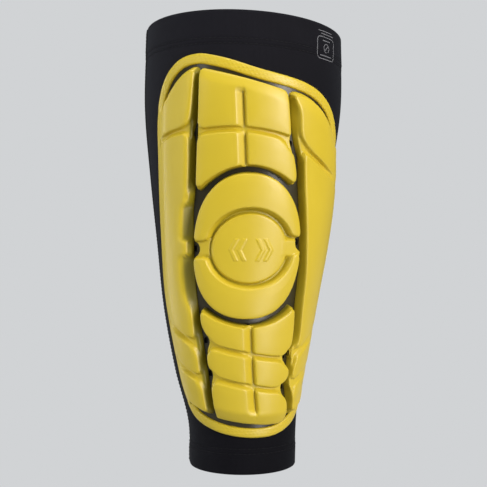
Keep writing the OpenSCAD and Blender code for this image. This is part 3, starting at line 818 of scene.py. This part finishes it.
def medallion_heights(flat):
    to_edge = signed_distance(flat, lobe_line(240))
    x, y = (flat - DISC).T
    from_centre = np.hypot(x, y)
    right = smooth(x, -12, 12)
    tip = np.maximum(y - (4.5 + 3 * right), (-5.5 + 2.7 * right) - y)
    ring = round_min(to_edge - WALL_RUN, from_centre - HOLLOW_R, 2.4)
    contour = round_min(ring, tip, 2.4)

    # inner walls that face right or up are long and soft, and the others steep
    facing = (-x * 0.8 - y * 0.6) / np.maximum(from_centre, 1e-6)
    turned = smooth(facing, -0.1, 0.7)
    inner = smooth(to_edge - WALL_RUN - from_centre + HOLLOW_R, -0.8, 0.8)
    slope = WALL_SLOPE + (2.4 - 0.4 * turned - WALL_SLOPE) * inner
    slope = np.where(tip < ring, 3.2, slope)
    crescents = CELL_H + CROWN * smooth(contour, 0, 6) - drop(contour, slope, 0.4)
    disc = (DISC_H + 0.4 * (1 - (from_centre / DISC_R) ** 2)
            - drop(DISC_R - 0.4 - from_centre, 3.2 - 1.4 * turned, 0.4) + chevron_relief(x, y))
    notch = np.min([np.hypot(*(flat - VENTS[n]).T) - 4.3 for n in (2, 3)], axis=0)
    wall = FOOT_H + WALL_SLOPE * round_min(to_edge, notch, 1.5)
    ear = 1 - smooth(np.abs(y - 0.5), 3.5, 7.5)   # the ledges left and right of the disc
    ear_height = 5.2 + 1.2 * right
    ledge = 3.6 + (ear_height - 3.6) * ear * smooth(from_centre, 20.5, 22.0 - 1.5 * right)
    ledge = np.where(x > 0, np.maximum(ledge, 3.6 + 2.8 * ear * smooth(x, 14, 17)), ledge)
    heights = soft_max(soft_max(crescents, disc, 0.3), soft_min(ledge, wall, 0.4), 0.25)
    return np.minimum(heights, wall + 0.15)


def medallion():
    turns = 360
    boundary = lobe_line(turns)
    reach = np.linalg.norm(boundary - DISC, axis=1)
    bearing = (boundary - DISC) / reach[:, None]
    inner = np.concatenate([np.linspace(0.4, DISC_R - 2, 46),
                            np.linspace(DISC_R - 2, DISC_R + 6, 34)[1:]])
    outer = spread(20.0, FINE, 5.0, 1.2)[1:]
    radius = np.array([np.full(turns, r) for r in inner]
                      + [inner[-1] + (reach - inner[-1]) * s for s in outer])
    grid = DISC + radius[..., None] * bearing[None]
    top, bottom, h = skin_layers(grid, medallion_heights(grid.reshape(-1, 2)))
    rows, columns = radius.shape
    size = rows * columns
    ring = np.arange(columns)
    ahead = (ring + 1) % columns
    last = (rows - 1) * columns
    faces = [*grid_faces(rows, columns, closed=True, flip=True),
             *grid_faces(rows, columns, size, closed=True),
             *np.stack([last + ring, last + ring + size, last + ahead + size, last + ahead], -1),
             ring, ring[::-1] + size]
    obj = two_layers("medallion", top, bottom, faces, skin, grid)
    # painted shade where the skin lies below the disc's height
    mark_painted_shade(obj, 0.6 * smooth(DISC_H - h, 0.5, 3.0))
    stand_for("medallion_skin")

    for name, start, end in (("core_crescent_upper", 157, 23), ("core_crescent_lower", 337, 203)):
        a, r = np.meshgrid(np.radians(np.linspace(start, end, 60)), np.linspace(25.6, 40, 10))
        here = np.interp(a % (2 * math.pi), np.arange(turns) * 2 * math.pi / turns, reach)
        part = DISC + polar(25.6 + (r - 25.6) * ((here - 26.5) / 15), a)
        core(name, part, medallion_heights(part.reshape(-1, 2)))
    side = np.linspace(-12.6, 12.6, 24)
    square = np.stack(np.meshgrid(side, side), -1)
    # square grid squeezed into the disc
    squeeze = np.max(np.abs(square), axis=-1) / np.maximum(np.linalg.norm(square, axis=-1), 1e-6)
    part = DISC + square * squeeze[..., None] * 1.4
    core("core_disc", part, medallion_heights(part.reshape(-1, 2)))


medallion()


# ---- the rim and the film
def inset(line, distance):
    """A closed clockwise line moved inwards."""
    along = np.roll(line, -1, 0) - np.roll(line, 1, 0)
    across = np.stack([along[:, 1], -along[:, 0]], -1)
    return line + across * distance / np.linalg.norm(across, axis=1)[:, None]


def rim():
    """The rim flange, flat where a channel runs beside it, and part of the flank elsewhere."""
    fine = closed_curve(RIM, 22)
    u, z = fine.T
    sides = (smooth(-u, 30, 42) * smooth(z, 40, 46) * (1 - smooth(z, 214, 224))
             + smooth(u, 30, 42) * smooth(z, 36, 44) * (1 - smooth(z, 198, 208)))
    sides = np.clip(sides, 0, 1)
    # distance from the outer edge, height beside a channel
    profile = [
        [0.0, SUNK_H], [0.0, 0.9], [0.12, 1.45], [0.4, 1.85], [0.9, 2.12], [1.6, 2.25], [2.4, 2.3],
        [3.2, 2.3], [4.0, 2.3], [4.7, 2.27], [5.3, 2.15], [5.75, 1.85], [6.0, 1.4], [6.05, 0.9],
        [6.05, SUNK_H]]
    points, flats = [], []
    for number, (d, h) in reversed(list(enumerate(profile))):
        line = inset(fine, d)
        on_flank = flank(d) - 0.05 * (number > 3) if 3 <= number <= 12 else h
        points.append(wrap(*line.T, h + (on_flank - h) * sides))
        flats.append(line)
    obj = loop_solid("rim", np.stack(points, 1), rim_skin, np.stack(flats, 1))
    stand_for("pad_rim")


rim()


def backing():
    """The film: one sheet with an air vent through it at each end of a groove."""
    edge = inset(closed_curve(RIM, 8), 0.8)
    turn = np.arange(20) * 2 * math.pi / 20
    slot = polar(np.ones(20), turn)
    circle = np.sign(slot) * np.abs(slot) ** 0.6 * (0.9, 1.5)
    holes = [np.array(v) + VENT_R * circle for v in VENTS]
    loops = [edge, *holes]
    side_u, side_z = np.meshgrid(np.arange(-56, 82, 2.6), np.arange(24, 249, 2.6))
    inner = np.stack([side_u.ravel(), side_z.ravel()], -1)
    inner = inner[signed_distance(inner, edge) > 1.6]
    for vent in VENTS:
        inner = inner[np.hypot(*(inner - vent).T) > VENT_R * 1.6 + 0.8]
    points = np.concatenate([*loops, inner])
    edges, start = [], 0
    for loop in loops:
        edges += [(start + i, start + (i + 1) % len(loop)) for i in range(len(loop))]
        start += len(loop)
    verts, _, faces, *_ = delaunay_2d_cdt(
        [Vector(p) for p in points], edges, [list(range(len(edge)))], 1, 1e-6)
    verts = np.array([list(v) for v in verts])
    faces = np.array([f for f in faces if len(f) == 3])
    middle = verts[faces].mean(1)
    keep = inside(middle, edge)
    for hole in holes:
        keep &= ~inside(middle, hole)
    faces = faces[keep]
    a, b, c = verts[faces[:, 0]], verts[faces[:, 1]], verts[faces[:, 2]]
    turned = (b - a)[:, 0] * (c - a)[:, 1] - (b - a)[:, 1] * (c - a)[:, 0] < 0
    faces[turned] = faces[turned][:, ::-1]
    sides = {(f[i], f[(i + 1) % 3]): 1 for f in faces for i in range(3)}
    count = len(verts)
    walls = [(b, a, a + count, b + count) for a, b in sides if (b, a) not in sides]
    obj = two_layers("film", wrap(*verts.T, FILM_H), wrap(*verts.T, FILM_LOW),
                     [*faces, *(faces[:, ::-1] + count), *walls], film, verts, crisp=40)
    stand_for("backing_film")


backing()


# ---- the sleeve
KNEE_ROWS = (KNEE_HEM - 3.2, KNEE_HEM - 0.2)
ANKLE_ROWS = (ANKLE_HEM - 3.2, ANKLE_HEM - 0.2)
EDGE_R = 0.95        # radius of the folded edge of a hem
HEM_H = 0.3          # how far a hem stands above the panels
STRETCH = 1.15       # how much longer round the leg the fabric is than its cut
THREAD_R, THREAD_SIDES = 0.2, 5
LOOP_PITCH = 1.15    # between the points of a seam's zigzag
KNEE_STITCHES, ANKLE_STITCHES = 132, 74


def fabric_height(angle, z):
    """Relief of the outer fabric: full hems, and a dip along each row of stitches."""
    from_knee, from_ankle = knee_z(angle) - z, z
    relief = HEM_H * (1 - smooth(from_knee, KNEE_HEM - 4.0, KNEE_HEM + 0.8))
    relief = relief + HEM_H * (1 - smooth(from_ankle, ANKLE_HEM - 4.0, ANKLE_HEM + 0.8))
    for distance, rows in ((from_knee, KNEE_ROWS), (from_ankle, ANKLE_ROWS)):
        for row in rows:
            relief = relief - 0.22 * np.exp(-((distance - row) / 0.7) ** 2)
    return relief


def sleeve_z(angle, share):
    """Height at a share of the way from the ankle's folded edge to the knee's."""
    return EDGE_R + (knee_z(angle) - 2 * EDGE_R) * share


def girth(points):
    """Length in metres of the longest row of points."""
    return np.linalg.norm(np.diff(points, axis=-2), axis=-1).sum(-1).max() * MM


def right_seam(share):
    return RIGHT_SEAM + 0 * share


def panel(name, node, material, left, right, columns):
    """A panel of the sleeve between two seams, as a thin closed sheet."""
    share = np.concatenate([np.linspace(0, 0.07, 34), np.linspace(0.07, 0.9, 90)[1:],
                            np.linspace(0.9, 1, 44)[1:]])[:, None]
    across = np.linspace(0, 1, columns)[None, :]
    angle = left(share) + (right(share) - left(share)) * across
    z = sleeve_z(angle, share)
    relief = fabric_height(angle, z)
    uv = np.stack([np.radians(angle) * half_width(z), z], -1)
    obj = slab(name, on_leg(angle, z, relief), on_leg(angle, z, relief - FABRIC_T), material, uv)
    stand_for(node)
    round(girth(on_leg(angle, z, 0)) / STRETCH, 3)


def hem(name, node, height, at_knee):
    """The turned layer of a hem, with the folded edge that closes the sleeve."""
    angle = np.arange(160) * 360 / 160
    # height above the edge's centre and distance outside the fabric, round the section
    outline = [(EDGE_R * math.sin(t) - 0.05, (FABRIC_T + HEM_H) * math.cos(t) - FABRIC_T)
               for t in np.radians(np.linspace(0, 180, 9))]
    fold = outline[-1][1]
    outline += [(-height * s, fold + 0.05 * s) for s in (0.25, 0.5, 0.75, 1.0)]
    outline += [(-height * s, -1.08) for s in (1.0, 0.75, 0.5, 0.25)]
    rise, out = np.array([*outline, (-0.3, -1.05), (-0.3, -0.6)]).T
    edge = knee_z(angle) - EDGE_R if at_knee else np.full(len(angle), EDGE_R)
    z = edge[:, None] + (rise if at_knee else -rise)
    h = np.broadcast_to(out, z.shape)
    sections = on_leg(angle[:, None], z, h)
    uv = np.stack([np.broadcast_to(np.radians(angle)[:, None] * 60, z.shape), z + h], -1)
    if not at_knee:
        sections, uv = sections[:, ::-1], uv[:, ::-1]
    obj = loop_solid(name, sections, knit, uv)
    stand_for(node)
    length = girth(on_leg(np.append(angle, 360), edge[0], 0))


def tubes(name, paths):
    """Threads along paths, each closed at its ends."""
    points, faces = [], []
    turn = 2 * math.pi * np.arange(THREAD_SIDES) / THREAD_SIDES
    for path in paths:
        count, base = len(path), len(points)
        along = unit(np.gradient(path, axis=0))
        steep = abs(along[0][2]) >= 0.9
        out = unit(np.cross(along, [path[0][1], -path[0][0], 0.0] if steep else [0.0, 0.0, 1.0]))
        ring = (np.cos(turn)[:, None] * out[:, None]
                + np.sin(turn)[:, None] * np.cross(along, out)[:, None])
        from_end = np.minimum(np.arange(count), np.arange(count)[::-1])
        taper = THREAD_R * np.minimum(1.0, 0.35 + from_end)
        points += list((path[:, None] + taper[:, None, None] * ring).reshape(-1, 3))
        faces += list(grid_faces(count, THREAD_SIDES, base, closed=True))
        cap = base + np.arange(THREAD_SIDES)
        faces += [cap[::-1], cap + (count - 1) * THREAD_SIDES]
    return piece(name, points, faces, thread)


def side_seam(name, node, angle_at):
    """Flat seam: a flattened band with two rows of loops and a thread that zigzags between."""
    def middle(share):
        """Angle, height and half the seam's width as an angle, at shares of its length."""
        angle = angle_at(share)
        z = sleeve_z(angle, share)
        return angle, z, np.degrees(SEAM_W / 2 / half_width(z))

    angle, z, half = [v[:, None] for v in middle(np.linspace(0, 1, 120))]
    side, rise = np.array([[-1, 0.05], [-0.92, 0.28], [-0.6, 0.4], [0, 0.36], [0.6, 0.4],
                           [0.92, 0.28], [1, 0.05]]).T
    a = angle + side * half
    z = np.broadcast_to(z, a.shape)
    lift = fabric_height(a, z)
    uv = np.stack([np.broadcast_to(side * SEAM_W / 2, a.shape), z], -1)
    band = slab(name, on_leg(a, z, lift + rise), on_leg(a, z, lift - 0.1), thread, uv)
    stand_for(node)

    count = int(SLEEVE_H / LOOP_PITCH)
    share = np.linspace(0.004, 0.996, count)
    angle, z, half = middle(share)
    swing = np.where(np.arange(count) % 2, 0.82, -0.82)
    paths = [on_leg(angle + swing * half, z, fabric_height(angle, z) + 0.52)]
    for side in (-0.8, 0.8):
        for k in range(0, count - 2, 2):
            angle, z, half = middle(np.linspace(share[k], share[k + 2], 5)[:-1])
            rise = np.array([0.3, 0.55, 0.55, 0.3])
            paths.append(on_leg(angle + side * half, z, fabric_height(angle, z) + rise))
    tubes(name + "_thread", paths)


def stitch_rows(name, node, rows, count, at_knee):
    """Twin-needle stitching round a hem: separate stitches that dip into the fabric."""
    paths = []
    for row in rows:
        for k in range(count):
            angle = k * 360 / count + 360 / count * 0.78 * np.linspace(0, 1, 5)
            z = knee_z(angle) - row if at_knee else np.full(5, row)
            rise = np.array([-0.05, 0.13, 0.17, 0.13, -0.05]) + 0.02
            paths.append(on_leg(angle, z, fabric_height(angle, z) + rise))
    obj = tubes(name, paths)
    stand_for(node)


def care_label():
    """A generic printed label: a rounded frame, two lines above it, and simple marks in it."""
    centre, half_u, half_z, corner = np.array([55.3, 257.2]), 8.6, 6.6, 2.6
    outline = []
    for quarter, (su, sz) in enumerate(((1, 1), (-1, 1), (-1, -1), (1, -1))):
        t = np.linspace(0, math.pi / 2, 6) + quarter * math.pi / 2
        outline += list(centre + (su * (half_u - corner), sz * (half_z - corner))
                        + polar(np.full(6, corner), t))
    lines = [(np.array([*outline, outline[0]]), 0.5)]   # points and width of each line
    for z0, u0, u1, width in ((267.2, 47.5, 61.5, 0.45), (265.6, 50.0, 63.5, 0.45),
                              (261.6, 51.5, 59.0, 0.55), (252.6, 49.5, 61.0, 0.55)):
        lines.append((np.array([[u0, z0], [u1, z0]]), width))
    lines.append((centre + polar(np.full(21, 2.6), np.linspace(0, 2 * math.pi, 21)), 0.45))
    lines.append((np.array([centre - 1.8, centre + 1.8]), 0.45))
    points, faces, flats = [], [], []
    for line, width in lines:
        steps = [line[0]]
        for a, b in zip(line[:-1], line[1:]):
            count = max(1, int(np.linalg.norm(b - a) / 1.2))
            steps += [a + (b - a) * (k + 1) / count for k in range(count)]
        steps = np.array(steps)
        along = unit(np.gradient(steps, axis=0))
        across = np.stack([-along[:, 1], along[:, 0]], -1) * width / 2
        base, count = len(points), len(steps)
        for row in (steps + across, steps - across):
            u, z = row.T
            for high in (0.12, -0.05):
                points += list(wrap(u, z, fabric_height(to_angle(u, z), z) + high))
                flats += list(row)
        lt, lb, rt, rb = (base + count * n for n in range(4))
        for k in range(count - 1):
            for a, b in ((rt, lt), (lb, rb), (lt, lb), (rb, rt)):
                faces.append((a + k, a + k + 1, b + k + 1, b + k))
        end = count - 1
        faces += [(lt, lb, rb, rt), (rt + end, rb + end, lb + end, lt + end)]
    obj = piece("care_label", points, faces, print_grey, np.array(flats))
    stand_for("care_print")


hem("knee_hem_fold", "knee_hem", KNEE_HEM, True)
hem("ankle_hem_fold", "ankle_hem", ANKLE_HEM, False)
panel("front_panel", "sleeve_front_panel", knit, left_seam, right_seam, 150)
panel("calf_panel", "sleeve_calf_panel", mesh_knit, right_seam,
      lambda share: 360 + left_seam(share), 120)
side_seam("left_seam", "left_side_seam", left_seam)
side_seam("right_seam", "right_side_seam", right_seam)
stitch_rows("knee_stitches", "knee_hem_stitching", KNEE_ROWS, KNEE_STITCHES, True)
stitch_rows("ankle_stitches", "ankle_hem_stitching", ANKLE_ROWS, ANKLE_STITCHES, False)
care_label()


# ---- stage, lights and camera
BACKDROP = (0.637, 0.651, 0.665, 1)
FLOOR_SIDE, FLOOR_Z = 4.0, -0.45


def link_object(name, data):
    obj = bpy.data.objects.new(name, data)
    bpy.context.scene.collection.objects.link(obj)
    return obj


def stage():
    mesh = bpy.data.meshes.new("floor")
    side = FLOOR_SIDE
    mesh.from_pydata([(-side, -side, 0), (side, -side, 0), (side, side, 0), (-side, side, 0)], [],
                     [(0, 1, 2, 3)])
    floor = link_object("floor", mesh)
    floor.location.z = FLOOR_Z
    material, tree = new_material("studio_floor")
    feed(tree.nodes["Principled BSDF"], {
        "Base Color": (0, 0, 0, 1), "Specular IOR Level": 0.0, "Emission Color": BACKDROP,
        "Emission Strength": 1.0})
    mesh.materials.append(material)
    floor.visible_diffuse = False


def area_light(name, spot, size, power, target=(0, 0, 0.14), colour=(1, 1, 1)):
    light = bpy.data.lights.new(name, "AREA")
    light.shape = "RECTANGLE"
    light.size, light.size_y = size
    light.energy = power
    light.color = colour
    obj = link_object(name, light)
    obj.location = spot
    obj.rotation_euler = (Vector(target) - Vector(spot)).to_track_quat("-Z", "Y").to_euler()
    return obj


def studio_world():
    """The camera sees an even pale backdrop. A dimmer sky, brighter overhead, lights the object."""
    world = bpy.data.worlds.new("studio")
    world.use_nodes = True
    tree = world.node_tree
    sky = tree.nodes["Background"]
    where = new_node(tree, "TexCoord").outputs["Generated"]
    up = new_node(tree, "SeparateXYZ", {0: where}).outputs["Z"]
    feed(sky, {"Strength": map_range(tree, up, 0.07, 0.33, -1.0), "Color": (0.86, 1.0, 0.96, 1)})
    seen = new_node(tree, "Background", {"Color": BACKDROP})
    path = new_node(tree, "LightPath")
    mix = new_node(tree, "MixShader", {
        "Fac": path.outputs["Is Camera Ray"], 1: sky.outputs[0], 2: seen.outputs[0]})
    feed(tree.nodes["World Output"], {"Surface": mix.outputs[0]})
    bpy.context.scene.world = world


stage()
studio_world()
area_light("key", (0.76, -0.82, 0.46), (0.35, 0.9), 14.6, colour=(1.0, 0.95, 0.93))
area_light("top", (0.05, -0.25, 1.15), (0.8, 0.4), 4.8, (0, -0.03, 0.14))
fill = area_light("fill", (-0.96, -0.42, 0.3), (0.5, 0.9), 5.9)
fill.visible_glossy = False
area_light("left_rim", (-1.0, 0.3, 0.2), (0.25, 0.9), 3)
area_light("left_glint", (-0.72, -0.75, 0.5), (0.16, 0.16), 0.7, (0, 0, 0.2))
area_light("low", (0.55, -0.8, -0.25), (0.35, 0.2), 2.3, (0, 0, 0.05))
bpy.context.scene.view_settings.view_transform = "Standard"

camera_data = bpy.data.cameras.new("camera")
camera_data.sensor_width = 36.0
camera_data.lens = 59.5
camera_data.shift_x = 0.002
camera_data.shift_y = 0.0503
camera = link_object("camera", camera_data)
camera.location = (0, -0.52, 0.1255)
camera.rotation_euler = (math.radians(90), 0, 0)
bpy.context.scene.camera = camera
